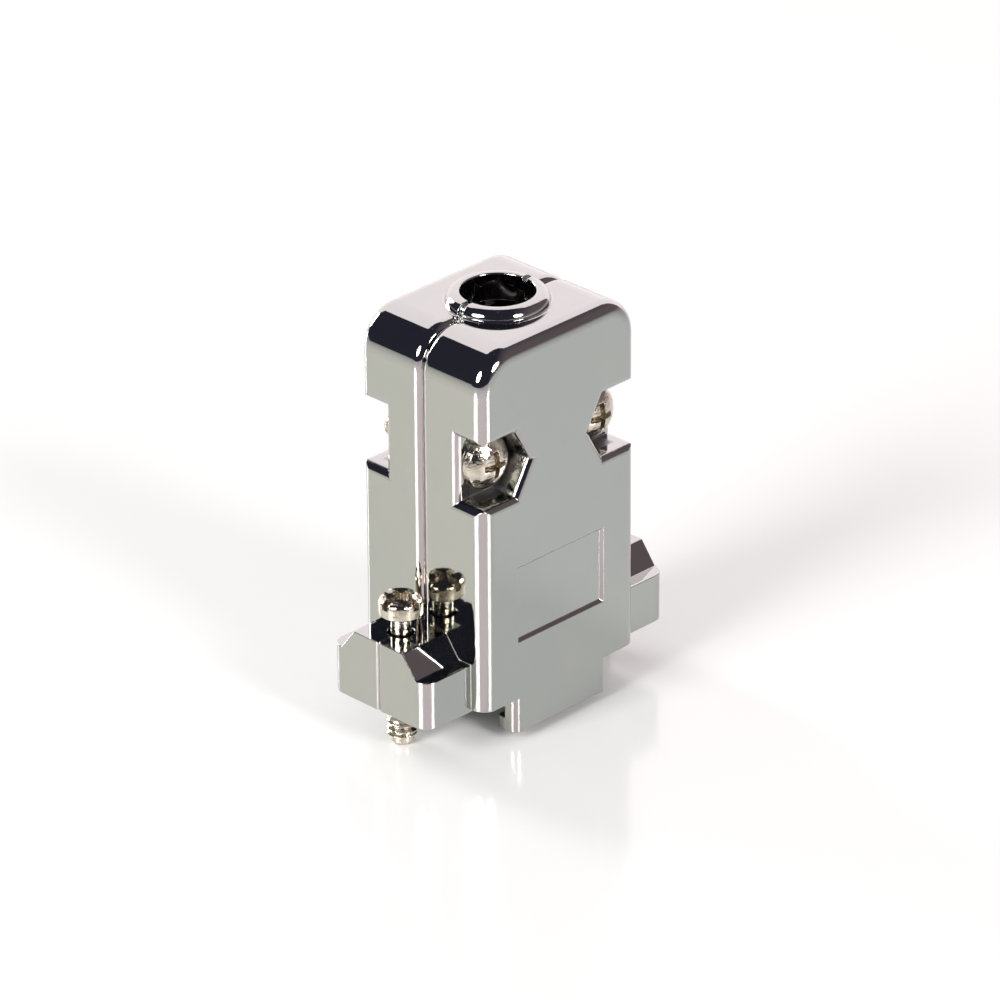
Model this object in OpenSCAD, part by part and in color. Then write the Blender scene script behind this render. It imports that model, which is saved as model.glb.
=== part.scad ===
// Straight hood for a 9-way D-subminiature connector.
// Two cast half shells close over the connector and the cable, two case
// screws hold them together, two captive jackscrews lock the plug to its mate,
// and a two-bar clamp inside grips the cable below the outlet collar.
//
// Frame: X runs along the wide face, Y from the front shell (-Y) to the rear
// shell (+Y) and Z up towards the cable. The origin is the middle of the plane
// on which the connector flange seats, level with the underside of the ears.

/* [Body] */
// Width of the closed body between its two narrow sides
body_w = 19.7; // [19.4:0.1:22]
// Thickness of the closed body from front face to rear face
body_t = 15.5; // [15.2:0.1:18]
// Height of the flat top above the flange seat
body_h = 35.35; // [35:0.05:44]
// Height of the body's lower edge above the flange seat
skirt_z = 0.2; // [0.1:0.1:1.2]
// Thickness of the cast walls
wall = 1.6; // [1.3:0.1:1.9]
// Radius of the shoulders between the narrow sides and the top
shoulder_r = 3.8; // [2.5:0.1:4.5]
// Radius of the long outer edges of each shell
edge_r = 1.4; // [0.6:0.1:1.8]
// Radius of the mating rims, which makes the groove along the seam
rim_r = 0.95; // [0.2:0.05:1.1]

/* [Cable outlet] */
// Diameter of the cable bore
outlet_d = 6.8; // [5:0.1:7.6]
// Outer diameter of the collar round the bore
collar_d = 9.5; // [8.8:0.1:10.5]
// Height of the collar above the flat top
collar_h = 1.05; // [1:0.05:4]
// Radius of the collar's outer lip
collar_lip_r = 0.95; // [0.2:0.05:1]
// Radius of the collar's inner lip
collar_bore_r = 0.15; // [0.1:0.05:0.35]
// Radius of the fillet at the foot of the collar
collar_foot_r = 0.25; // [0.2:0.05:0.5]
// Depth of the seam groove across the collar
collar_seam = 0.3; // [0.1:0.05:0.4]

/* [Screw pockets] */
// Distance of each case screw in from the body's narrow side
screw_inset = 3.15; // [2.4:0.05:3.2]
// Distance of each pocket's middle in from the body's narrow side
pocket_inset = 2.5; // [2.4:0.05:2.8]
// Distance of the case screws below the flat top
screw_drop = 11.75; // [11.4:0.05:14]
// Width of the hexagonal pocket across its flats
pocket_af = 6.3; // [6.2:0.1:7]
// Depth of the pocket below the face of the shell
pocket_depth = 3.2; // [2.4:0.05:3.3]
// Wall thickness behind and round the pocket
pocket_wall = 1.2; // [1:0.1:1.3]
// Radius of the pocket's lips on the face
pocket_lip_r = 0.7; // [0.3:0.05:1.1]
// Radius of the pocket's lips on the narrow side
pocket_side_r = 0.85; // [0.3:0.05:1.1]
// Diameter of the boss that carries each case screw to the seam
boss_d = 4.7; // [4.4:0.1:4.8]

/* [Case screws] */
// Thread diameter of the case screws, 4-40 UNC
case_screw_d = 2.84; // [2.5:0.01:3]
// Length of the case screws below the head
case_screw_l = 11; // [9:0.1:12]
// Diameter of the pan head
case_head_d = 5; // [4.6:0.05:5.1]
// Height of the pan head at its middle
case_head_h = 2.05; // [1.6:0.05:2.4]
// Height of the straight rim of the pan head
case_head_rim = 0.85; // [0.5:0.05:1.2]
// Tip to tip width of the cross recess in the heads
cross_w = 3.1; // [2.4:0.1:3.4]
// Width of one wing of the cross recess
cross_t = 0.62; // [0.4:0.02:0.8]
// Depth of the cross recess
cross_depth = 1.3; // [0.8:0.1:1.4]

/* [Label recess] */
// Width of the shallow recess on each face
label_w = 11; // [6:0.1:12]
// Height of the recess
label_h = 7.6; // [4:0.1:8]
// Height of the recess's middle above the flange seat
label_z = 9.7; // [8:0.1:12]
// Depth of the recess
label_depth = 0.3; // [0.15:0.05:0.6]

/* [Ears] */
// Overall width over both ears
ear_span = 30.8; // [30:0.1:33]
// Thickness of the ears from front to rear
ear_t = 12.2; // [11:0.1:12.6]
// Height of the ears' narrow top above the flange seat
ear_h = 6.85; // [6:0.05:9]
// Height of the ledges on either side of the narrow top
ear_ledge_z = 4.7; // [4:0.05:5.3]
// Width of the narrow top from front to rear
ear_top_w = 6.1; // [5:0.1:7]
// Width between the inner edges of the two ledges
ear_ledge_w = 9.4; // [8:0.1:10.5]
// Radius of the ears' upright end edges
ear_r = 1.4; // [0.3:0.1:1.5]
// Radius of the seam rims on the ear ends
ear_rim_r = 0.3; // [0.1:0.05:0.5]

/* [Flange slot] */
// Half width of the tabs that reach down past the connector flange
tab_half_w = 5.85; // [4:0.1:7]
// Length of the tabs below the flange seat
tab_len = 3.3; // [2.6:0.1:4]
// Thickness of the connector flange from front to rear
flange_t = 12.55; // [12.4:0.05:12.6]
// Gap between the flange's long edges and the tabs
flange_clear = 0.12; // [0.05:0.01:0.2]
// Height of the slot that holds the flange
slot_h = 2.1; // [1.2:0.1:2.2]
// Reach of the lip below the slot
lip_reach = 1; // [0.4:0.1:1.2]
// Radius of the tabs' upright outer edges
tab_r = 0.75; // [0.3:0.05:1]
// Radius of the lips' upright inner edges
lip_r = 0.5; // [0.2:0.05:0.8]
// Wall left beside the opening for the connector's back shell
back_shell_wall = 0.1; // [0.05:0.05:0.3]
// Thickness of the opening for the back shell
back_shell_t = 11.2; // [10.9:0.1:11.6]
// Depth of the opening for the back shell above the flange seat
back_shell_h = 4.6; // [4:0.1:5]

/* [Jackscrews] */
// Distance between the two jackscrews, fixed by the connector standard
jack_spacing = 24.99; // [24.9:0.01:25.1]
// Thread diameter of the jackscrews, 4-40 UNC
jack_thread_d = 2.84; // [2.8:0.01:3]
// Diameter of the plain shank
jack_shank_d = 1.9; // [1.7:0.05:2]
// Gap round the shank in the ear
jack_clear = 0.3; // [0.2:0.05:0.4]
// Diameter of the jackscrew head
jack_head_d = 4.1; // [3.6:0.1:5]
// Height of the jackscrew head
jack_head_h = 1.6; // [1.2:0.1:4]
// Chamfer of the jackscrew head
jack_head_ch = 0.4; // [0.1:0.05:0.5]
// Width of the cross slots in the jackscrew head
jack_slot_w = 0.75; // [0.5:0.05:1]
// Depth of the cross slots in the jackscrew head
jack_slot_depth = 0.7; // [0.4:0.05:1]
// Height of the head above the ear while the screw floats
jack_float = 2; // [0.5:0.1:3]
// Length of the thread below the shank
jack_thread_l = 1.9; // [1.5:0.1:4]
// Diameter of the plain pilot at the tip
jack_pilot_d = 2.15; // [1.9:0.05:2.2]
// Length of the plain pilot
jack_pilot_l = 1; // [0.6:0.1:1.5]
// Length from the underside of the head to the tip
jack_len = 13.1; // [12:0.1:15]
// Chamfer at the end of the screws' threads
thread_ch = 0.4; // [0.1:0.05:0.5]

/* [Cable clamp] */
// Gap between the ends of the clamp bars and the walls
bar_clear = 0.65; // [0.3:0.05:1]
// Height of each clamp bar
bar_h = 4.4; // [4:0.1:4.6]
// Thickness of each clamp bar
bar_t = 1.3; // [1:0.1:1.6]
// Gap between the two bars at their ends
bar_gap = 5.8; // [5:0.1:6]
// Diameter of the cable that the saddles fit
saddle_d = 6.8; // [6.2:0.1:7.2]
// Distance of each clamp screw in from the bar's end
clamp_inset = 2; // [1.8:0.1:2.2]
// Thread diameter of the clamp screws, M2
clamp_screw_d = 2; // [1.6:0.1:2]
// Head diameter of the clamp screws
clamp_head_d = 3.8; // [3:0.1:4]
// Head height of the clamp screws
clamp_head_h = 1.4; // [1:0.1:1.6]
// Length of the clamp screws below the head
clamp_screw_l = 10; // [9:0.1:10.2]
// Width of the clamp nuts across their flats
nut_af = 4; // [3.5:0.1:4.2]
// Thickness of the clamp nuts
nut_t = 1.6; // [1.2:0.1:1.6]

/* [Fits] */
// Radial gap round each screw that passes through a plain hole
hole_clear = 0.15; // [0.1:0.05:0.3]
// Radial gap between a modelled thread and its tapped hole
thread_gap = 0.02; // [0.01:0.01:0.05]
// Thickness of the locating tongue on the rear shell's rim
tongue_t = 0.55; // [0.4:0.05:0.7]
// Height of the locating tongue
tongue_h = 0.7; // [0.4:0.1:1]
// Gap between the tongue and its groove
tongue_gap = 0.08; // [0.05:0.01:0.15]

/* [Hidden] */

// An overlap that makes cuts and joins run cleanly past a face
eps = 0.5;
// Facets of a full turn on the curved solids and on the lofted lips
$fn = 64;
lip_steps = 5;

half_w = body_w / 2;
half_t = body_t / 2;
core_x = half_w - shoulder_r;
core_z = body_h - shoulder_r;
inner_x = half_w - wall;
back_shell_x = half_w - back_shell_wall;
inner_y = half_t - wall;
inner_top = body_h - wall;
screw_x = half_w - screw_inset;
pocket_x = half_w - pocket_inset;
screw_z = body_h - screw_drop;
pocket_floor = half_t - pocket_depth;
house_face = pocket_floor - pocket_wall;
house_af = pocket_af + 2 * pocket_wall;
jack_x = jack_spacing / 2;
jack_hole_d = jack_shank_d + 2 * jack_clear;
jack_head_z = ear_h + jack_float;
thread_top = jack_len - jack_pilot_l - jack_thread_l;
bar_l = 2 * (inner_x - bar_clear);
clamp_x = bar_l / 2 - clamp_inset;
clamp_z = screw_z + house_af / 2 + bar_h / 2;
bar_out = bar_gap / 2 + bar_t;
flange_y = flange_t / 2 + flange_clear;
tongue_low = ear_h + wall;

// ---------------------------------------------------------------- profiles

// What a fillet of radius r takes off a corner that points to +X and -Y
module corner_off(r) {
    translate([-r, 0])
        difference() {
            translate([0, -eps]) square([r + eps, r + eps]);
            translate([0, r]) circle(r);
        }
}

// Section of one shell's outer skin from the shoulder's centre outwards:
// X is the reach, Y goes from the outer face to the seam
module skin_section() {
    difference() {
        translate([0, -half_t]) square([shoulder_r, half_t]);
        translate([shoulder_r, -half_t]) corner_off(edge_r);
        translate([shoulder_r, 0]) mirror([0, 1]) corner_off(rim_r);
    }
}

// Outline of the body in XZ, at a distance `inset` inside the outer skin
module body_outline(inset, low) {
    x = half_w - inset;
    top = body_h - inset;
    r = shoulder_r - inset;
    translate([-x, low]) square([2 * x, top - r - low]);
    translate([-x + r, low]) square([2 * (x - r), top - low]);
    for (side = [-1, 1]) translate([side * (x - r), top - r]) circle(r);
}

// Turns a drawing in XZ into a solid that spans y0 to y1
module between(y0, y1) {
    translate([0, y1, 0]) rotate([90, 0, 0]) linear_extrude(y1 - y0) children();
}

// A hexagon with level flats
module hexagon(af) {
    circle(af / sqrt(3), $fn = 6);
}

// ------------------------------------------------------------ outer skin

// One half of the body's outside, rounded along its face, seam and shoulders
module skin() {
    translate([-core_x, -half_t, skirt_z])
        cube([2 * core_x, half_t, core_z - skirt_z]);
    translate([core_x, 0, core_z])
        rotate([0, -90, 0]) linear_extrude(2 * core_x) skin_section();
    for (side = [0, 1]) mirror([side, 0, 0]) {
        translate([core_x, 0, skirt_z])
            linear_extrude(core_z - skirt_z) skin_section();
        translate([core_x, 0, core_z])
            rotate([90, 0, 0])
                rotate_extrude(angle = 90) mirror([0, 1]) skin_section();
    }
}

// One half of an ear: a stepped section along X with rounded end edges
module ear() {
    reach = ear_span / 2;
    intersection() {
        translate([reach, 0, 0]) rotate([90, 0, -90])
            linear_extrude(reach - inner_x) polygon([
                [0, 0], [ear_t / 2, 0], [ear_t / 2, ear_ledge_z],
                [ear_ledge_w / 2, ear_ledge_z], [ear_top_w / 2, ear_h], [0, ear_h]
            ]);
        linear_extrude(ear_h) difference() {
            translate([0, -ear_t / 2]) square([reach, ear_t / 2]);
            translate([reach, -ear_t / 2]) corner_off(ear_r);
            translate([reach, 0]) mirror([0, 1]) corner_off(ear_rim_r);
        }
    }
}

// The tab that hangs below the face, with the lip that catches the flange
module tab() {
    top = skirt_z + wall;
    difference() {
        translate([0, 0, -tab_len]) linear_extrude(tab_len + top) difference() {
            translate([-tab_half_w, -half_t])
                square([2 * tab_half_w, half_t - flange_y + lip_reach]);
            for (side = [0, 1]) mirror([side, 0]) {
                translate([tab_half_w, -half_t]) corner_off(tab_r);
                translate([tab_half_w, lip_reach - flange_y]) mirror([0, 1]) corner_off(lip_r);
            }
        }
        translate([-tab_half_w - eps, -flange_y, -slot_h])
            cube([2 * (tab_half_w + eps), lip_reach + eps, slot_h + top + eps]);
    }
}

// One half of the collar round the cable bore, stepped back along the seam
module collar() {
    module ring(outer) {
        rotate_extrude() difference() {
            union() {
                translate([0, -eps]) square([outer, collar_h + eps]);
                translate([0, -eps]) square([outer + collar_foot_r, collar_foot_r + eps]);
            }
            translate([outer + collar_foot_r, collar_foot_r]) circle(collar_foot_r);
            translate([outer, collar_h]) mirror([0, 1]) corner_off(collar_lip_r);
        }
    }
    translate([0, 0, body_h]) {
        intersection() {
            ring(collar_d / 2);
            translate([-collar_d, -collar_d, -eps])
                cube([2 * collar_d, collar_d - collar_seam, collar_h + 2 * eps]);
        }
        intersection() {
            ring(collar_d / 2 - collar_seam);
            translate([-collar_d, -collar_d, -eps])
                cube([2 * collar_d, collar_d, collar_h - collar_seam + eps]);
        }
    }
}

// ------------------------------------------------------------------ cuts

// Outline of a pocket grown by g: half a hexagon that runs out past the side
function pocket_outline(g) =
    let (h = pocket_af / 2 + g, out = half_w + eps, tip = h / sin(60), run = h / tan(60))
    [[out, h], [pocket_x - run, h], [pocket_x - tip, 0], [pocket_x - run, -h], [out, -h]];

// Outline of the same pocket seen from the narrow side, in YZ
function side_outline(g) =
    let (h = pocket_af / 2 + g, out = half_t + eps)
    [[out, screw_z + h], [pocket_floor - g, screw_z + h],
     [pocket_floor - g, screw_z - h], [out, screw_z - h]];

// Solid that joins outlines of equal length, listed anticlockwise, at the
// given heights
module loft(outlines, heights) {
    n = len(outlines[0]);
    last = len(outlines) - 1;
    points = [for (k = [0 : last]) for (p = outlines[k]) [p[0], p[1], heights[k]]];
    walls = [for (k = [0 : last - 1]) for (i = [0 : n - 1])
        let (a = k * n + i, b = k * n + (i + 1) % n) [b, a, a + n, b + n]];
    caps = [[for (i = [0 : n - 1]) i], [for (i = [0 : n - 1]) last * n + n - 1 - i]];
    polyhedron(points, concat(walls, caps));
}

// Growths and heights of a pocket's outlines, from its floor up straight walls
// and out over a lip of radius r that ends at height `top`
function lip_growth(r) = [0, each [for (k = [0 : lip_steps]) r * (1 - cos(90 * k / lip_steps))]];
function lip_heights(floor, r, top) =
    [floor, each [for (k = [0 : lip_steps]) top - r + r * sin(90 * k / lip_steps)]];

// The pocket for one screw head, open to the face and to the narrow side
module pocket() {
    translate([0, 0, screw_z]) rotate([90, 0, 0])
        loft([for (g = lip_growth(pocket_lip_r)) pocket_outline(g)],
             lip_heights(pocket_floor, pocket_lip_r, half_t));
    mirror([0, 1, 0]) rotate([90, 0, 90])
        loft([for (g = lip_growth(pocket_side_r)) side_outline(g)],
             lip_heights(pocket_x, pocket_side_r, half_w));
}

// The shallow recess with sloping sides on a face
module label_recess() {
    frame = function (g) [[-label_w / 2 - g, -label_h / 2 - g], [label_w / 2 + g, -label_h / 2 - g],
        [label_w / 2 + g, label_h / 2 + g], [-label_w / 2 - g, label_h / 2 + g]];
    translate([0, 0, label_z]) rotate([90, 0, 0])
        loft([frame(-label_depth), frame(label_depth)],
             [half_t - label_depth, half_t + label_depth]);
}

// The room inside one shell, less the pocket housings and the screw bosses
module room() {
    difference() {
        union() {
            between(-inner_y, eps) body_outline(wall, skirt_z - eps);
            translate([-back_shell_x, -back_shell_t / 2, -eps])
                cube([2 * back_shell_x, back_shell_t / 2 + eps, back_shell_h + eps]);
        }
        for (side = [0, 1]) mirror([side, 0, 0]) translate([0, 0, screw_z]) rotate([90, 0, 0]) {
            translate([pocket_x, 0, house_face]) linear_extrude(half_t) {
                hexagon(house_af);
                translate([0, -house_af / 2]) square([half_w, house_af]);
            }
            translate([screw_x, 0, 0]) cylinder(d = boss_d, h = half_t);
        }
    }
}

// The band that the tongue follows, just outside the room
module tongue_band(gap) {
    difference() {
        body_outline(wall - tongue_t - gap, tongue_low);
        body_outline(wall + gap, tongue_low - eps);
    }
}

// Everything that both shells share, drawn as the front one
module half_shell(case_hole_d) {
    difference() {
        union() {
            skin();
            for (side = [0, 1]) mirror([side, 0, 0]) ear();
            tab();
            collar();
        }
        room();
        label_recess();
        for (side = [0, 1]) mirror([side, 0, 0]) {
            pocket();
            translate([screw_x, eps, screw_z]) rotate([90, 0, 0])
                cylinder(d = case_hole_d, h = half_t);
            translate([jack_x, 0, -eps]) cylinder(d = jack_hole_d, h = ear_h + 2 * eps);
        }
        translate([0, 0, inner_top - eps])
            cylinder(d = outlet_d, h = wall + collar_h + 2 * eps);
        translate([0, 0, body_h + collar_h - collar_bore_r])
            bore_lip();
    }
}

// Rounded mouth of the cable bore
module bore_lip() {
    rotate_extrude() difference() {
        square([outlet_d / 2 + collar_bore_r, collar_bore_r + eps]);
        translate([outlet_d / 2 + collar_bore_r, 0]) circle(collar_bore_r);
    }
}

// ------------------------------------------------------------------- nodes

// Front shell: plain holes for the case screws and the groove in its rim
module front_shell() {
    color([0.78, 0.78, 0.76])
        difference() {
            half_shell(case_screw_d + 2 * hole_clear);
            between(-tongue_h - tongue_gap, eps) tongue_band(tongue_gap);
        }
}

// Rear shell: tapped holes for the case screws and the tongue on its rim
module rear_shell() {
    color([0.74, 0.74, 0.73]) {
        mirror([0, 1, 0]) half_shell(case_screw_d + 2 * thread_gap);
        difference() {
            between(-tongue_h, wall) tongue_band(0);
            for (side = [-1, 1]) translate([side * screw_x, wall + eps, screw_z])
                rotate([90, 0, 0]) cylinder(d = case_screw_d + 2 * hole_clear, h = half_t);
            translate([0, 0, inner_top - eps]) cylinder(d = outlet_d, h = wall + 2 * eps);
        }
    }
}

// A screw's plain or threaded rod along +Z with a chamfer at its far end
module rod(d, l, ch) {
    cylinder(d = d, h = l - ch);
    translate([0, 0, l - ch]) cylinder(d1 = d, d2 = d - 2 * ch, h = ch);
}

// Two crossed slots of a screw head, cut down from z = 0
module cross_recess(w, t, depth) {
    for (turn = [0, 90]) rotate(turn)
        translate([-w / 2, -t / 2, -depth]) cube([w, t, depth + eps]);
}

// A pan head along -Z from its seat, with a domed top and a cross recess
module pan_head() {
    dome = case_head_h - case_head_rim;
    dome_r = (case_head_d * case_head_d / 4 + dome * dome) / (2 * dome);
    translate([0, 0, -case_head_h]) difference() {
        intersection() {
            cylinder(d = case_head_d, h = case_head_h);
            translate([0, 0, dome_r]) sphere(dome_r);
        }
        mirror([0, 0, 1]) cross_recess(cross_w, cross_t, cross_depth);
    }
}

// A captive jackscrew: slotted head, thin shank, thread and plain pilot
module jackscrew() {
    color([0.72, 0.69, 0.62])
        translate([0, 0, jack_head_z]) {
            difference() {
                union() {
                    cylinder(d = jack_head_d, h = jack_head_h - jack_head_ch);
                    translate([0, 0, jack_head_h - jack_head_ch])
                        cylinder(d1 = jack_head_d, d2 = jack_head_d - 2 * jack_head_ch, h = jack_head_ch);
                }
                translate([0, 0, jack_head_h])
                    cross_recess(jack_head_d + eps, jack_slot_w, jack_slot_depth);
            }
            mirror([0, 0, 1]) {
                cylinder(d = jack_shank_d, h = thread_top);
                translate([0, 0, thread_top]) {
                    cylinder(d1 = jack_shank_d, d2 = jack_thread_d, h = thread_ch);
                    translate([0, 0, thread_ch])
                        rod(jack_thread_d, jack_thread_l - thread_ch, thread_ch);
                    translate([0, 0, thread_ch])
                        rod(jack_pilot_d, jack_thread_l + jack_pilot_l - thread_ch, thread_ch);
                }
            }
        }
}

module left_jackscrew() {
    translate([-jack_x, 0, 0]) jackscrew();
}

module right_jackscrew() {
    translate([jack_x, 0, 0]) jackscrew();
}

// One case screw on the axis Y, with its head seated in the front pocket
module case_screw() {
    color([0.74, 0.71, 0.64])
        translate([0, -pocket_floor, screw_z]) rotate([-90, 0, 0]) {
            pan_head();
            rod(case_screw_d, case_screw_l, thread_ch);
        }
}

module left_case_screw() {
    translate([-screw_x, 0, 0]) case_screw();
}

module right_case_screw() {
    translate([screw_x, 0, 0]) case_screw();
}

// A plate with a saddle for the cable and a plain hole for each clamp screw
module front_clamp_bar() {
    color([0.70, 0.71, 0.72])
        difference() {
            translate([-bar_l / 2, -bar_out, clamp_z - bar_h / 2])
                cube([bar_l, bar_t, bar_h]);
            translate([0, 0, clamp_z - bar_h]) cylinder(d = saddle_d, h = 2 * bar_h);
            for (side = [-1, 1]) translate([side * clamp_x, 0, clamp_z])
                rotate([90, 0, 0]) cylinder(d = clamp_screw_d + 2 * hole_clear, h = half_t);
        }
}

module rear_clamp_bar() {
    mirror([0, 1, 0]) front_clamp_bar();
}

// One clamp screw on the axis Y, with its head on the front bar
module clamp_screw() {
    color([0.74, 0.72, 0.68])
        translate([0, -bar_out, clamp_z]) rotate([-90, 0, 0]) {
            difference() {
                translate([0, 0, -clamp_head_h]) cylinder(d = clamp_head_d, h = clamp_head_h);
                translate([-clamp_head_d, -cross_t / 2, -clamp_head_h - eps])
                    cube([2 * clamp_head_d, cross_t, clamp_head_h / 2 + eps]);
            }
            rod(clamp_screw_d, clamp_screw_l, thread_ch);
        }
}

module left_clamp_screw() {
    translate([-clamp_x, 0, 0]) clamp_screw();
}

module right_clamp_screw() {
    translate([clamp_x, 0, 0]) clamp_screw();
}

// One clamp nut behind the rear bar
module clamp_nut() {
    color([0.74, 0.72, 0.68])
        translate([0, 0, clamp_z]) between(bar_out, bar_out + nut_t) difference() {
            hexagon(nut_af);
            circle(d = clamp_screw_d + 2 * thread_gap);
        }
}

module left_clamp_nut() {
    translate([-clamp_x, 0, 0]) clamp_nut();
}

module right_clamp_nut() {
    translate([clamp_x, 0, 0]) clamp_nut();
}

front_shell();
rear_shell();
left_jackscrew();
right_jackscrew();
left_case_screw();
right_case_screw();
front_clamp_bar();
rear_clamp_bar();
left_clamp_screw();
right_clamp_screw();
left_clamp_nut();
right_clamp_nut();
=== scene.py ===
# %% [markdown]
# # A connector hood in bright plate
# This lesson dresses a imported CAD model of a straight two-piece connector hood. The real one is a
# zinc casting with a bright nickel plate, so nearly all of its look is reflection. The shapes come
# from the CAD solids. The work here is the plating with its soft tints and painted reflections, its
# worn edges with a painted highlight, the turned screws with their threads, and the room that the metal
# mirrors.
#
# First comes the frame: the solids, the bodies they move with, and the box they fill. That box is
# kept, and its size is printed; the size of the whole scene is printed again at the end.

# %% Load the frame
import math

import bpy
from mathutils import Matrix, Vector


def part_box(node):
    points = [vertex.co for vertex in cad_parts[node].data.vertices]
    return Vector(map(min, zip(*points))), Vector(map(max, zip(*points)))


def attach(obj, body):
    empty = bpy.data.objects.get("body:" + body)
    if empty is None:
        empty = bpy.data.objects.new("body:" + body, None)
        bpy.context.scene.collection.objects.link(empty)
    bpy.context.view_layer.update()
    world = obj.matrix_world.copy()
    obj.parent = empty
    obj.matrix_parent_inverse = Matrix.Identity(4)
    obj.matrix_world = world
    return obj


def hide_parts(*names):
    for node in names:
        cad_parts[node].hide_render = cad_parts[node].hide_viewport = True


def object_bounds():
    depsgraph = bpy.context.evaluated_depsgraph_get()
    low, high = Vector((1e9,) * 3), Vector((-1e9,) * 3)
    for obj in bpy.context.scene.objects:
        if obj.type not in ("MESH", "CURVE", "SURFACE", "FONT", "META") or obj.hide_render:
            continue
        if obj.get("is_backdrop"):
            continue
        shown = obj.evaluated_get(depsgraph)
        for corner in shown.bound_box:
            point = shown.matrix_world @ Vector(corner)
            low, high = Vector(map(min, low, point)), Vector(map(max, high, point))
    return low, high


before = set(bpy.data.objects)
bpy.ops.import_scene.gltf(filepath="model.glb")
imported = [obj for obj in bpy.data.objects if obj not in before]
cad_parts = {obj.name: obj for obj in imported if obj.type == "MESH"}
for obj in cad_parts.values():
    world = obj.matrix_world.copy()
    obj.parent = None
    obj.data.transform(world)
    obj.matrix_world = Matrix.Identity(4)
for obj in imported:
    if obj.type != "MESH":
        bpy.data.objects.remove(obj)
cad_low, cad_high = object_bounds()
MM = 0.001
scene = bpy.context.scene
scene.view_settings.view_transform = "Standard"
print("nodes:", sorted(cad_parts))
print("size in mm:", [round((b - a) / MM, 1) for a, b in zip(cad_low, cad_high)])

# %% [markdown]
# ## The view
# A small product is photographed from far away with a long lens, so that its upright edges stay
# nearly parallel. A camera could be placed by typing a position and an Euler rotation. Two angles
# and a distance from the middle of the hood are easier to think about, so a small helper turns an
# azimuth and an elevation into a direction, and the camera's axes are built from that.

# %% Place the camera


def direction(azimuth, elevation):
    """Unit vector seen at an azimuth from the front (-Y) towards +X, and an elevation, in degrees."""
    a, e = math.radians(azimuth), math.radians(elevation)
    return Vector((math.sin(a) * math.cos(e), -math.cos(a) * math.cos(e), math.sin(e)))


CAMERA_AWAY_MM = 650
ROLL = math.radians(-0.353)
back = direction(-45.177, 27.239)
right = Vector((-back.y, back.x, 0)).normalized()
up = back.cross(right)
target = Vector((0, 0, 18.55 * MM)) + right * 0.082 * MM - up * 2.753 * MM

camera = bpy.data.objects.new("camera", bpy.data.cameras.new("camera"))
scene.collection.objects.link(camera)
axes = Matrix((right, up, back)).transposed() @ Matrix.Rotation(ROLL, 3, "Z")
camera.matrix_world = Matrix.Translation(target + back * CAMERA_AWAY_MM * MM) @ axes.to_4x4()
camera.data.sensor_width = 36
camera.data.lens = 261.26
camera.data.clip_start = 0.05
camera.data.clip_end = 20
scene.camera = camera
print("camera at", [round(c / MM) for c in camera.location], "mm")

# %% [markdown]
# ## Node helpers
# Every finish below is made of nodes. Typing each link by hand hides the idea behind the wiring, so
# three small helpers do it: one starts an empty material, one adds a node with its values, and one
# adds a Math node. A value that is the same all over a surface is typed on the shader's own socket.

# %% Helpers that build node trees


def new_material(name):
    """An empty node material, with its tree."""
    mat = bpy.data.materials.new(name)
    mat.use_nodes = True
    mat.node_tree.nodes.clear()
    return mat, mat.node_tree


def add(tree, kind, label, settings=None, inputs=None):
    """Adds a node. Inputs hold plain values or another node's output socket."""
    node = tree.nodes.new(kind)
    node.label = node.name = label
    for key, value in (settings or {}).items():
        setattr(node, key, value)
    for key, value in (inputs or {}).items():
        if isinstance(value, bpy.types.NodeSocket):
            tree.links.new(value, node.inputs[key])
        else:
            node.inputs[key].default_value = value
    return node


def maths(tree, label, operation, *values, clamp=False):
    """Adds a Math node and returns its output."""
    settings = {"operation": operation, "use_clamp": clamp}
    return add(tree, "ShaderNodeMath", label, settings, dict(enumerate(values))).outputs[0]


def blend(tree, label, factor, first, second):
    """Mixes two colours and returns the result."""
    node = add(tree, "ShaderNodeMix", label, {"data_type": "RGBA"}, {0: factor, 6: first, 7: second})
    return node.outputs[2]


def spread(tree, label, value, low, high, out_low, out_high):
    """Maps a value from one span to another, with its ends held."""
    names = ("Value", "From Min", "From Max", "To Min", "To Max")
    inputs = dict(zip(names, (value, low, high, out_low, out_high)))
    return add(tree, "ShaderNodeMapRange", label, None, inputs).outputs[0]


def new_group(name, inputs, outputs):
    """A node group with named number inputs and named outputs."""
    group = bpy.data.node_groups.new(name, "ShaderNodeTree")
    for label, default in inputs:
        socket = group.interface.new_socket(name=label, in_out="INPUT", socket_type="NodeSocketFloat")
        socket.default_value = default
    for label, kind in outputs:
        group.interface.new_socket(name=label, in_out="OUTPUT", socket_type=kind)
    entry = group.nodes.new("NodeGroupInput")
    leave = group.nodes.new("NodeGroupOutput")
    return group, entry.outputs, leave.inputs


def use(tree, group, label, **values):
    """Places a node group in a material with its own values."""
    inputs = {key.replace("_", " "): value for key, value in values.items()}
    return add(tree, "ShaderNodeGroup", label, {"node_tree": group}, inputs)


print("helpers ready")

# %% [markdown]
# ## A room for metal to mirror
# Polished metal has hardly any colour of its own. It shows the room. In a small studio that room is
# a white table, a dark surround behind the camera, and a bright board at the back that lights the
# top of the object. The world stays a plain white that the metal also sees. Its strength is 1 for
# camera, mirror and glass rays and lower for the light it sheds, so the pale parts keep their tone.

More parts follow.
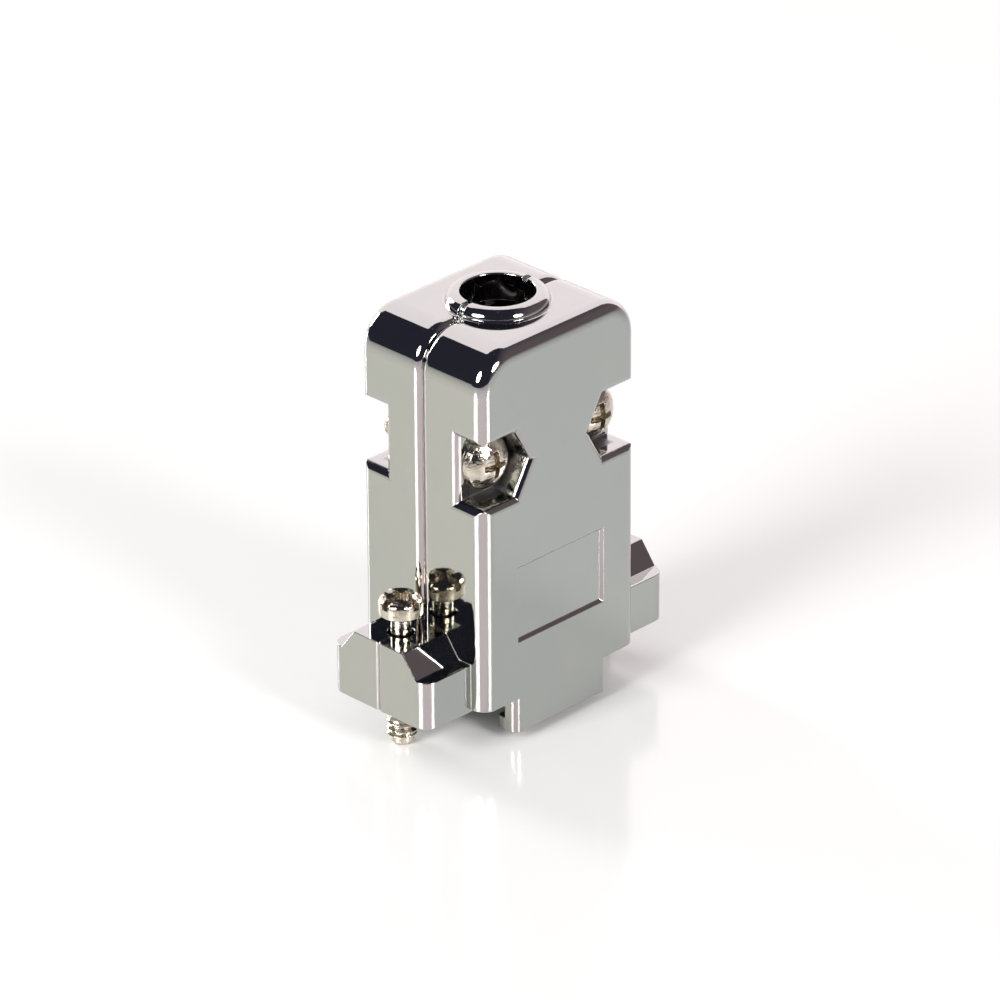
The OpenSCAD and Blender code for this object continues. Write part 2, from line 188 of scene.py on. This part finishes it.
# %% The world
world = bpy.data.worlds.new("studio")
scene.world = world
world.use_nodes = True
sky = world.node_tree
sky.nodes.clear()
path = add(sky, "ShaderNodeLightPath", "ray kind")
seen = maths(sky, "camera or mirror", "MAXIMUM",
             path.outputs["Is Camera Ray"], path.outputs["Is Glossy Ray"])
seen = maths(sky, "or glass", "MAXIMUM", seen, path.outputs["Is Transmission Ray"])
strength = spread(sky, "strength", seen, 0.0, 1.0, 0.42, 1.0)
glow = add(sky, "ShaderNodeBackground", "white", None, {"Color": (1, 1, 1, 1), "Strength": strength})
add(sky, "ShaderNodeOutputWorld", "world", None, {"Surface": glow.outputs[0]})
print("world strength 1 when seen, 0.42 as light")

# %% [markdown]
# ## The table
# The table is a pale laminate with a slight gloss. The gloss matters: upright rounded edges look
# down at the table, and the lamps mirrored in it draw the long bright lines on those edges. A matt
# table would leave the edges dull. Faint clouds in its colour and gloss keep it from looking empty.

# %% Group: soft clouds, shared by every finish
clouds, c_in, c_out = new_group("soft_clouds", [("Per mm", 0.2), ("Contrast", 1.0)],
                                [("Mask", "NodeSocketFloat")])
place = add(clouds, "ShaderNodeTexCoord", "object place")
per_metre = maths(clouds, "per metre", "MULTIPLY", c_in["Per mm"], 1000.0)
noise = add(clouds, "ShaderNodeTexNoise", "clouds", None,
            {"Vector": place.outputs["Object"], "Scale": per_metre, "Detail": 3.0, "Roughness": 0.5})
centred = maths(clouds, "centred", "SUBTRACT", noise.outputs["Fac"], 0.5)
wide = maths(clouds, "contrast", "MULTIPLY", centred, c_in["Contrast"])
clouds.links.new(maths(clouds, "mask", "ADD", wide, 0.5, clamp=True), c_out["Mask"])
print("group soft_clouds")

# %% The table and its laminate
half = 4.0
table_mesh = bpy.data.meshes.new("table")
corners = [(-half, -half), (half, -half), (half, half), (-half, half)]
table_mesh.from_pydata([(x, y, cad_low.z) for x, y in corners], [], [(0, 1, 2, 3)])
table = bpy.data.objects.new("table", table_mesh)
scene.collection.objects.link(table)
table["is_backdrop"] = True

laminate, tree = new_material("pale_laminate")
drift = use(tree, clouds, "drift", Per_mm=0.01, Contrast=1.2)
shade = blend(tree, "shade", drift.outputs[0], (0.84, 0.85, 0.83, 1), (0.87, 0.87, 0.86, 1))
gloss = spread(tree, "gloss", drift.outputs[0], 0.0, 1.0, 0.13, 0.17)
bsdf = add(tree, "ShaderNodeBsdfPrincipled", "laminate", None, {"Base Color": shade, "Roughness": gloss})
add(tree, "ShaderNodeOutputMaterial", "out", None, {"Surface": bsdf.outputs[0]})
table.data.materials.append(laminate)
print("table at", round(cad_low.z / MM, 2), "mm")

# %% [markdown]
# ## Boards and lamps
# The dark surround is a dome of dark cloth that only mirror rays can see, so it casts no shadow and
# takes no light from the table. A real studio isn't evenly dark: one side has brown furniture and
# stray light near the table, the other is nearly black. The cloth's colour therefore drifts round
# the dome. One bright board stands at the back, and gives the flat top its pale pinkish white.

# %% The dark surround and the bright board


def dome(name, azimuths, elevations, radius):
    """Part of a sphere round the object that only mirror rays see."""
    across, high = 32, 12
    points = []
    for j in range(high + 1):
        e = elevations[0] + (elevations[1] - elevations[0]) * j / high
        for i in range(across + 1):
            a = azimuths[0] + (azimuths[1] - azimuths[0]) * i / across
            points.append(direction(a, e) * radius)
    row = across + 1
    faces = [(j * row + i, j * row + i + 1, j * row + i + 1 + row, j * row + i + row)
             for j in range(high) for i in range(across)]
    mesh = bpy.data.meshes.new(name)
    mesh.from_pydata(points, [], faces)
    board = bpy.data.objects.new(name, mesh)
    scene.collection.objects.link(board)
    board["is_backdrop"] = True
    board.visible_camera = board.visible_diffuse = board.visible_shadow = False
    return board


def facing(tree, outward, azimuth):
    """How far a point of the room lies towards an azimuth, from -1 to 1."""
    side = direction(azimuth, 0)
    dot = add(tree, "ShaderNodeVectorMath", "towards %d" % azimuth, {"operation": "DOT_PRODUCT"},
              {0: outward, 1: side})
    return dot.outputs["Value"]


def outward_way(tree):
    """The direction from the middle of the room to the point that is shaded."""
    place = add(tree, "ShaderNodeTexCoord", "place")
    return add(tree, "ShaderNodeVectorMath", "outward", {"operation": "NORMALIZE"},
               {0: place.outputs["Object"]}).outputs[0]


surround, tree = new_material("dark_surround")
outward = outward_way(tree)
height = add(tree, "ShaderNodeSeparateXYZ", "height", None, {0: outward}).outputs["Z"]
brown_side = spread(tree, "brown side", facing(tree, outward, 62), 0.25, 0.8, 0.0, 1.0)
low_glow = spread(tree, "near the table", height, 0.0, 0.22, 1.0, 0.0)
cloth = blend(tree, "cloth", brown_side, (0.035, 0.035, 0.055, 1), (0.20, 0.155, 0.165, 1))
warm_low = maths(tree, "stray light", "MULTIPLY", low_glow, brown_side)
cloth = blend(tree, "cloth with stray light", warm_low, cloth, (0.62, 0.60, 0.60, 1))
light = add(tree, "ShaderNodeEmission", "cloth light", None, {"Color": cloth, "Strength": 1.0})
add(tree, "ShaderNodeOutputMaterial", "out", None, {"Surface": light.outputs[0]})
dome("dark_surround", (-270, 90), (-1, 89), 1.5).data.materials.append(surround)

bright, tree = new_material("bright_board")
pink_side = spread(tree, "pink side", facing(tree, outward_way(tree), 170), 0.6, 1.0, 0.0, 1.0)
paper = blend(tree, "paper", pink_side, (1.0, 0.88, 0.93, 1), (1.0, 0.90, 0.88, 1))
light = add(tree, "ShaderNodeEmission", "paper light", None, {"Color": paper, "Strength": 1.7})
add(tree, "ShaderNodeOutputMaterial", "out", None, {"Surface": light.outputs[0]})
dome("bright_board", (90, 180), (0, 60), 1.4).data.materials.append(bright)
print("surround and board ready")

# %% [markdown]
# Three soft lamps stand round the table. Each one shows twice on the metal: straight, as an oval on
# the rounded corners of the shoulder, and by way of the table, as a long line on an upright edge.
# The lamp on the left is the widest. The one on the right is smaller and a little pink. The one at
# the back reaches down low, and picks out the rim of the front shell along the seam.

# %% Soft lamps


def soft_lamp(name, azimuth, elevation, size, watts, color=(1, 1, 1)):
    """An oval area lamp one metre away that shines at the object."""
    data = bpy.data.lights.new(name, "AREA")
    data.shape = "ELLIPSE"
    data.size, data.size_y = size
    data.energy = watts
    data.color = color
    lamp = bpy.data.objects.new(name, data)
    scene.collection.objects.link(lamp)
    towards = direction(azimuth, elevation)
    lamp.location = towards
    lamp.rotation_euler = towards.to_track_quat("Z", "Y").to_euler()
    lamp.visible_camera = False


soft_lamp("left_lamp", -90, 27, (0.45, 0.45), 9)
soft_lamp("right_lamp", 0, 27, (0.34, 0.40), 6, (1.0, 0.93, 0.94))
soft_lamp("back_lamp", -176, 18, (0.28, 0.5), 5)

# %% [markdown]
# ## Shared effects
# Three effects are used by more than one finish, so each is a node group with named inputs.
# *Soft clouds* is made already. *Fine ripple* is the slight waviness of a plated casting, or the
# coarser lumps of a barrel-plated screw. *Worn and highlit edges* rounds the shading at sharp edges
# and gives a mask there, which the finishes use to brighten edges, partly as wear and partly as a
# painted highlight. Real edges are never knife sharp, and the plate on them is rubbed thinner.

# %% Group: fine ripple
ripple, r_in, r_out = new_group("fine_ripple",
                                [("Per mm", 0.3), ("Fine per mm", 3.0), ("Fine part", 0.2)],
                                [("Height", "NodeSocketFloat")])
place = add(ripple, "ShaderNodeTexCoord", "object place")
layers = []
for label in ("Per mm", "Fine per mm"):
    per_metre = maths(ripple, label, "MULTIPLY", r_in[label], 1000.0)
    noise = add(ripple, "ShaderNodeTexNoise", label, None,
                {"Vector": place.outputs["Object"], "Scale": per_metre, "Detail": 2.0, "Roughness": 0.5})
    layers.append(noise.outputs["Fac"])
fine = maths(ripple, "fine part", "MULTIPLY", layers[1], r_in["Fine part"])
ripple.links.new(maths(ripple, "height", "ADD", layers[0], fine), r_out["Height"])
print("group fine_ripple")

# %% Group: worn and highlit edges
edges, e_in, e_out = new_group("worn_and_highlit_edges", [("Radius in mm", 0.15), ("Gain", 4.0)],
                               [("Edge", "NodeSocketFloat"), ("Normal", "NodeSocketVector")])
radius = maths(edges, "radius", "MULTIPLY", e_in["Radius in mm"], MM)
bevel = add(edges, "ShaderNodeBevel", "rounded", {"samples": 8}, {"Radius": radius})
flat = add(edges, "ShaderNodeNewGeometry", "surface")
same = add(edges, "ShaderNodeVectorMath", "same way", {"operation": "DOT_PRODUCT"},
           {0: bevel.outputs[0], 1: flat.outputs["Normal"]})
# Edge mask: how far the rounded normal turns. The finishes brighten their edges by it, partly as wear
# and partly as a painted highlight.
turned = maths(edges, "turned", "SUBTRACT", 1.0, same.outputs["Value"])
edges.links.new(maths(edges, "edge", "MULTIPLY", turned, e_in["Gain"], clamp=True), e_out["Edge"])
edges.links.new(bevel.outputs[0], e_out["Normal"])
print("group worn_and_highlit_edges")

# %% End a material as a metal


def metal(tree, label, tint, rough, heights, distance, worn_and_highlit):
    """A metal shader whose bump lies over the softened edges."""
    bump = add(tree, "ShaderNodeBump", label + " bump", None,
               {"Strength": 1.0, "Distance": distance, "Height": heights.outputs[0],
                "Normal": worn_and_highlit.outputs["Normal"]})
    bsdf = add(tree, "ShaderNodeBsdfPrincipled", label, None,
               {"Base Color": tint, "Metallic": 1.0, "Roughness": rough, "Normal": bump.outputs[0]})
    add(tree, "ShaderNodeOutputMaterial", "out", None, {"Surface": bsdf.outputs[0]})
    print(label, "has", len(tree.nodes), "nodes")

# %% [markdown]
# ## Bright nickel plate on the casting
# Bright plate could be one smooth metal shader, but a real plated casting is never so even. The
# narrow sides get a warmer tint and the rounded corners a pinkish one: both are painted reflection,
# set by which way the surface faces. Clouds of cooler and warmer tint drift over the flats. The
# normal in object space tells where sides and corners are, so the painted tints follow the shape itself.
# Inside, plate hardly reaches: the walls there stay dull and grey, which a box mask picks out.

# %% The plate
plate, tree = new_material("bright_plate")
place = add(tree, "ShaderNodeTexCoord", "place")
way = add(tree, "ShaderNodeSeparateXYZ", "which way it faces", None, {0: place.outputs["Normal"]})
x_sq = maths(tree, "x squared", "POWER", maths(tree, "x", "ABSOLUTE", way.outputs["X"]), 2.0)
y_sq = maths(tree, "y squared", "POWER", maths(tree, "y", "ABSOLUTE", way.outputs["Y"]), 2.0)
# Painted reflection masks: the rounded corners get a pinkish tint and the narrow sides a warmer one, by
# which way they face.
corner = maths(tree, "corner", "MULTIPLY", maths(tree, "both", "MULTIPLY", x_sq, y_sq), 4.0, clamp=True)
side = spread(tree, "narrow side", x_sq, 0.75, 1.0, 0.0, 1.0)

broad = use(tree, clouds, "broad drift", Per_mm=0.09, Contrast=2.4)
small = use(tree, clouds, "small drift", Per_mm=0.45, Contrast=2.0)
cool = blend(tree, "cool drift", broad.outputs[0], (0.405, 0.435, 0.435, 1), (0.425, 0.450, 0.420, 1))
warm = blend(tree, "warm drift", broad.outputs[0], (0.475, 0.490, 0.430, 1), (0.505, 0.500, 0.445, 1))
# Painted reflection: warmer tint on the narrow sides, pinkish tint on the rounded corners.
tint = blend(tree, "side tint", side, cool, warm)
tint = blend(tree, "corner tint", corner, tint, (0.50, 0.44, 0.45, 1))
speck = spread(tree, "small amount", small.outputs[0], 0.0, 1.0, 0.0, 0.35)
tint = blend(tree, "small clouds", speck, tint, (0.47, 0.455, 0.45, 1))

spot = add(tree, "ShaderNodeSeparateXYZ", "place xyz", None, {0: place.outputs["Object"]})
in_x = maths(tree, "x in", "DIVIDE", maths(tree, "abs x", "ABSOLUTE", spot.outputs["X"]), 8.5 * MM)
in_y = maths(tree, "y in", "DIVIDE", maths(tree, "abs y", "ABSOLUTE", spot.outputs["Y"]), 6.35 * MM)
top_inside = maths(tree, "z in", "DIVIDE", spot.outputs["Z"], 34.2 * MM)
reach = maths(tree, "xy", "MAXIMUM", in_x, in_y)
reach = maths(tree, "xyz", "MAXIMUM", reach, top_inside)
inside = spread(tree, "inside", reach, 0.96, 1.0, 1.0, 0.0)

worn_and_highlit = use(tree, edges, "worn_and_highlit", Radius_in_mm=0.15, Gain=3.0)
# Painted highlight: edges brightened to a pale pinkish tint, partly standing for plate rubbed thin.
rubbed_and_highlit = maths(tree, "rubbed_and_highlit", "MULTIPLY", worn_and_highlit.outputs["Edge"], 0.5)
tint = blend(tree, "rubbed edges", rubbed_and_highlit, tint, (0.56, 0.52, 0.52, 1))
tint = blend(tree, "dull inside", inside, tint, (0.30, 0.30, 0.30, 1))
rough = spread(tree, "gloss drift", small.outputs[0], 0.0, 1.0, 0.035, 0.065)
edge_part = maths(tree, "edge part", "MULTIPLY", worn_and_highlit.outputs["Edge"], 0.04)
inside_part = maths(tree, "inside part", "MULTIPLY", inside, 0.30)
rough = maths(tree, "edge gloss", "ADD", rough, edge_part)
rough = maths(tree, "inside gloss", "ADD", rough, inside_part)
wave = use(tree, ripple, "casting waves", Per_mm=0.22, Fine_per_mm=2.5, Fine_part=0.08)
metal(tree, "plate", tint, rough, wave, 0.010 * MM, worn_and_highlit)

# %% [markdown]
# ## Screws: warm nickel on turned steel
# The screws are plated in a barrel, where they tumble against each other. Their plate is warmer,
# and full of tiny dents that break every reflection into many small glints. The dents are a bump at
# two scales. Dirt and a darker tone drift over them in soft clouds.

# %% The screws' nickel
nickel, tree = new_material("barrel_nickel")
dents = use(tree, ripple, "dents", Per_mm=1.3, Fine_per_mm=5.0, Fine_part=0.35)
worn_and_highlit = use(tree, edges, "worn_and_highlit", Radius_in_mm=0.09, Gain=4.0)
stain = use(tree, clouds, "stain", Per_mm=0.9, Contrast=2.6)
tone = blend(tree, "tone", stain.outputs[0], (0.50, 0.44, 0.35, 1), (0.76, 0.70, 0.60, 1))
# Painted highlight: the edge mask brightens the tone, partly as edge wear.
tone = blend(tree, "bright edges", worn_and_highlit.outputs["Edge"], tone, (0.86, 0.82, 0.76, 1))
rough = spread(tree, "gloss drift", stain.outputs[0], 0.0, 1.0, 0.16, 0.08)
metal(tree, "nickel", tone, rough, dents, 0.10 * MM, worn_and_highlit)

# %% [markdown]
# ## Clamp: plain zinc plate
# The clamp's bars, screws and nuts are inside and seen only from below. They are punched steel with
# a dull zinc plate, so the surface is rougher, greyer and faintly mottled. Its edges are brightened,
# partly as brighter cut edges and partly as a painted highlight.

# %% The clamp's zinc
zinc, tree = new_material("dull_zinc")
grain = use(tree, ripple, "grain", Per_mm=2.0, Fine_per_mm=9.0, Fine_part=0.5)
worn_and_highlit = use(tree, edges, "worn_and_highlit", Radius_in_mm=0.08, Gain=4.0)
bloom = use(tree, clouds, "bloom", Per_mm=0.6, Contrast=2.2)
tone = blend(tree, "tone", bloom.outputs[0], (0.48, 0.50, 0.52, 1), (0.60, 0.60, 0.58, 1))
# Painted highlight: the edge mask brightens the tone, partly as brighter cut edges.
tone = blend(tree, "bright edges", worn_and_highlit.outputs["Edge"], tone, (0.70, 0.70, 0.70, 1))
rough = spread(tree, "gloss drift", bloom.outputs[0], 0.0, 1.0, 0.38, 0.26)
metal(tree, "zinc", tone, rough, grain, 0.012 * MM, worn_and_highlit)

# %% Put the finishes on the solids
for name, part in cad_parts.items():
    part.data.materials.clear()
    part.data.materials.append(plate if "shell" in name else zinc if "clamp" in name else nickel)
print("finishes:", {name: part.data.materials[0].name for name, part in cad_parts.items()})

# %% [markdown]
# ## Turned screws with real threads
# The solids hold each thread as a plain cylinder, which is right for fits but looks wrong up close.
# A screw could be cut with a spiral and a boolean, which is slow and fragile. Turning it as one
# stack of rings is simpler: each ring has its own radius, and in the threaded part the radius dips
# with a phase that runs once round per pitch, which makes a true helix. Only the slots are cut with
# a boolean, and the head is a piece of its own, so that its few faces cut quickly.

# %% Turn a screw as a stack of rings


def turned_mesh(name, rings, sides, pitch):
    """Closed turned solid along +Z. Each ring is (height, radius, thread depth), in metres."""
    points, faces = [], []
    for z, r, depth in rings:
        for k in range(sides):
            phase = (z / pitch + k / sides) % 1.0
            flank = min(1.0, max(0.0, (abs(2 * phase - 1) - 0.12) / 0.76))
            reach = r - depth * flank
            a = 2 * math.pi * k / sides
            points.append((reach * math.cos(a), reach * math.sin(a), z))
    for j in range(len(rings) - 1):
        for k in range(sides):
            n = (k + 1) % sides
            faces.append((j * sides + k, j * sides + n, (j + 1) * sides + n, (j + 1) * sides + k))
    faces.append(tuple(reversed(range(sides))))
    faces.append(tuple((len(rings) - 1) * sides + k for k in range(sides)))
    mesh = bpy.data.meshes.new(name)
    mesh.from_pydata(points, [], faces)
    mesh.update()
    piece = bpy.data.objects.new(name, mesh)
    scene.collection.objects.link(piece)
    return piece


def thread_rings(start, stop, radius, depth, pitch):
    """Rings of a thread from a low to a high height, fading in at both ends."""
    steps = max(8, round(abs(stop - start) / (pitch / 10)))
    rings = []
    for i in range(steps + 1):
        t = i / steps
        fade = min(1.0, 6 * t + 0.15, 6 * (1 - t) + 0.15)
        rings.append((start + (stop - start) * t, radius, depth * fade))
    return rings


print("turning helpers ready")

# %% Cut slots and finish a piece


def wedge(name, top, foot, z_top, z_foot):
    """A tapered block for cutting a slot: (width, thickness) at its top and at its foot."""
    points = [(sx * w / 2, sy * t / 2, z) for (w, t), z in ((foot, z_foot), (top, z_top))
              for sx, sy in ((-1, -1), (1, -1), (1, 1), (-1, 1))]
    faces = [(3, 2, 1, 0), (4, 5, 6, 7), (0, 1, 5, 4), (1, 2, 6, 5), (2, 3, 7, 6), (3, 0, 4, 7)]
    mesh = bpy.data.meshes.new(name)
    mesh.from_pydata(points, [], faces)
    block = bpy.data.objects.new(name, mesh)
    scene.collection.objects.link(block)
    return block


def cut(piece, cutters):
    """Cuts the blocks out of a piece for good, and removes them."""
    for block in cutters:
        knife = piece.modifiers.new("cut", "BOOLEAN")
        knife.operation, knife.solver, knife.object = "DIFFERENCE", "EXACT", block
    bpy.context.view_layer.update()
    shaped = piece.evaluated_get(bpy.context.evaluated_depsgraph_get())
    mesh = bpy.data.meshes.new_from_object(shaped)
    piece.modifiers.clear()
    piece.data = mesh
    for block in cutters:
        bpy.data.objects.remove(block)


def finish(piece, tip, head_way, node, body, material):
    """Places a screw's piece from its tip towards its head, and ties it to its body."""
    piece.data.shade_smooth()
    piece.data.set_sharp_from_angle(angle=math.radians(28))
    piece.matrix_world = Matrix.Translation(tip) @ head_way.to_track_quat("Z", "Y").to_matrix().to_4x4()
    piece.data.materials.clear()
    piece.data.materials.append(material)
    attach(piece, body)
    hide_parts(node)
    print(piece.name, len(piece.data.polygons), "faces")


# %% [markdown]
# ## Jackscrews
# A captive jackscrew has a thin shank, so that it floats in its ear, a short thread that can't come
# back up through the ear's hole, and a plain pilot that finds the mating nut. The head is a small
# drum with crossed slots. Heights here run from the tip upwards.

# %% Make the jackscrews
PITCH_440 = 0.635 * MM
THREAD_DEEP = 0.34 * MM
JACK_HEAD_HIGH = 1.6 * MM
JACK_SHANK_R = 0.95 * MM
JACK_SLOT_WIDE, JACK_SLOT_DEEP = 0.75 * MM, 0.7 * MM
for name, body in (("left_jackscrew", "left_jack"), ("right_jackscrew", "right_jack")):
    low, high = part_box(name)
    tip = Vector(((low.x + high.x) / 2, (low.y + high.y) / 2, low.z))
    length = high.z - low.z
    seat = length - JACK_HEAD_HIGH
    pilot = [(0, 0.78), (0.08, 0.92), (0.3, 1.06), (0.96, 1.07)]
    rings = [(z * MM, r * MM, 0) for z, r in pilot]
    rings += thread_rings(1.0 * MM, 2.62 * MM, 1.41 * MM, THREAD_DEEP, PITCH_440)
    rings += [(2.95 * MM, JACK_SHANK_R, 0), (seat + 0.1 * MM, JACK_SHANK_R, 0)]
    shank = turned_mesh(name + "_thread", rings, 64, PITCH_440)
    finish(shank, tip, Vector((0, 0, 1)), name, body, nickel)

    r = (high.x - low.x) / 2
    profile = [(0, 0.12), (0.1, 0.0), (1.12, 0.0), (1.3, 0.04), (1.46, 0.16), (1.55, 0.3), (1.6, 0.5)]
    rings = [(seat + z * MM, r - inset * MM, 0) for z, inset in profile]
    head = turned_mesh(name + "_head", rings, 64, PITCH_440)
    slot_size = (2.4 * r, JACK_SLOT_WIDE)
    blocks = [wedge("slot", size, size, length + 1 * MM, length - JACK_SLOT_DEEP)
              for size in (slot_size, slot_size[::-1])]
    cut(head, blocks)
    finish(head, tip, Vector((0, 0, 1)), name, body, nickel)

# %% [markdown]
# ## Case screws
# Two pan-head screws close the shells. Their heads are domed, with a tapered cross recess, and the
# ends of their threads show in the pockets at the back. The dome is part of a sphere, so its rings
# follow a circle from the straight rim to the middle.

# %% Make the case screws
CASE_HEAD_HIGH = 2.05 * MM
DOME_HIGH = 1.2 * MM
CROSS_LONG, CROSS_THICK, CROSS_DEEP = 3.1 * MM, 0.66 * MM, 1.3 * MM
FOOT_LONG, FOOT_THICK = 1.5 * MM, 0.46 * MM
for name in ("left_case_screw", "right_case_screw"):
    low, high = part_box(name)
    tip = Vector(((low.x + high.x) / 2, high.y, (low.z + high.z) / 2))
    length = high.y - low.y
    seat = length - CASE_HEAD_HIGH
    rings = [(0, 0.95 * MM, 0), (0.1 * MM, 1.05 * MM, 0)]
    rings += thread_rings(0.15 * MM, seat - 0.3 * MM, 1.42 * MM, THREAD_DEEP, PITCH_440)
    rings += [(seat + 0.1 * MM, 1.1 * MM, 0)]
    shank = turned_mesh(name + "_thread", rings, 64, PITCH_440)
    finish(shank, tip, Vector((0, -1, 0)), name, "hood", nickel)

    r = (high.x - low.x) / 2
    sphere = (r * r + DOME_HIGH * DOME_HIGH) / (2 * DOME_HIGH)
    rings = [(seat, r - 0.1 * MM, 0), (seat + 0.1 * MM, r, 0), (seat + 0.78 * MM, r, 0)]
    for step in range(13):
        reach = r * (math.cos(math.radians(7.3 * step)) if step else 0.992)
        rings.append((length - sphere + math.sqrt(sphere * sphere - reach * reach), reach, 0))
    head = turned_mesh(name + "_head", rings, 96, PITCH_440)
    wing_top, wing_foot = (CROSS_LONG, CROSS_THICK), (FOOT_LONG, FOOT_THICK)
    blocks = [wedge("wing", top, foot, length + 0.05 * MM, length - CROSS_DEEP)
              for top, foot in ((wing_top, wing_foot), (wing_top[::-1], wing_foot[::-1]))]
    cut(head, blocks)
    finish(head, tip, Vector((0, -1, 0)), name, "hood", nickel)

# %% [markdown]
# ## Clamp screws
# The clamp screws are small M2 cheese heads with one slot. The same turning makes them, with a finer
# pitch, and the zinc finish of the bars goes on them.

# %% Make the clamp screws
PITCH_M2 = 0.4 * MM
CLAMP_HEAD_HIGH = 1.4 * MM
CLAMP_SLOT_WIDE, CLAMP_SLOT_DEEP = 0.62 * MM, 0.7 * MM
for name in ("left_clamp_screw", "right_clamp_screw"):
    low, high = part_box(name)
    tip = Vector(((low.x + high.x) / 2, high.y, (low.z + high.z) / 2))
    length = high.y - low.y
    seat = length - CLAMP_HEAD_HIGH
    rings = [(0, 0.7 * MM, 0), (0.08 * MM, 0.76 * MM, 0)]
    rings += thread_rings(0.12 * MM, seat - 0.2 * MM, 1.0 * MM, 0.22 * MM, PITCH_M2)
    rings += [(seat + 0.1 * MM, 0.8 * MM, 0)]
    shank = turned_mesh(name + "_thread", rings, 40, PITCH_M2)
    finish(shank, tip, Vector((0, -1, 0)), name, "hood", zinc)

    r = (high.x - low.x) / 2
    profile = [(0, 0.08), (0.08, 0.0), (1.15, 0.0), (1.32, 0.07), (1.4, 0.22)]
    rings = [(seat + z * MM, r - inset * MM, 0) for z, inset in profile]
    head = turned_mesh(name + "_head", rings, 64, PITCH_M2)
    size = (2.4 * r, CLAMP_SLOT_WIDE)
    cut(head, [wedge("slot", size, size, length + 1 * MM, length - CLAMP_SLOT_DEEP)])
    finish(head, tip, Vector((0, -1, 0)), name, "hood", zinc)

# %% [markdown]
# ## The size at the end
# The size of everything the scene shows, apart from the table and the boards, is printed once more.

# %% Print the size at the end
low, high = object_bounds()
print("size in mm:", [round((b - a) / MM, 2) for a, b in zip(low, high)])
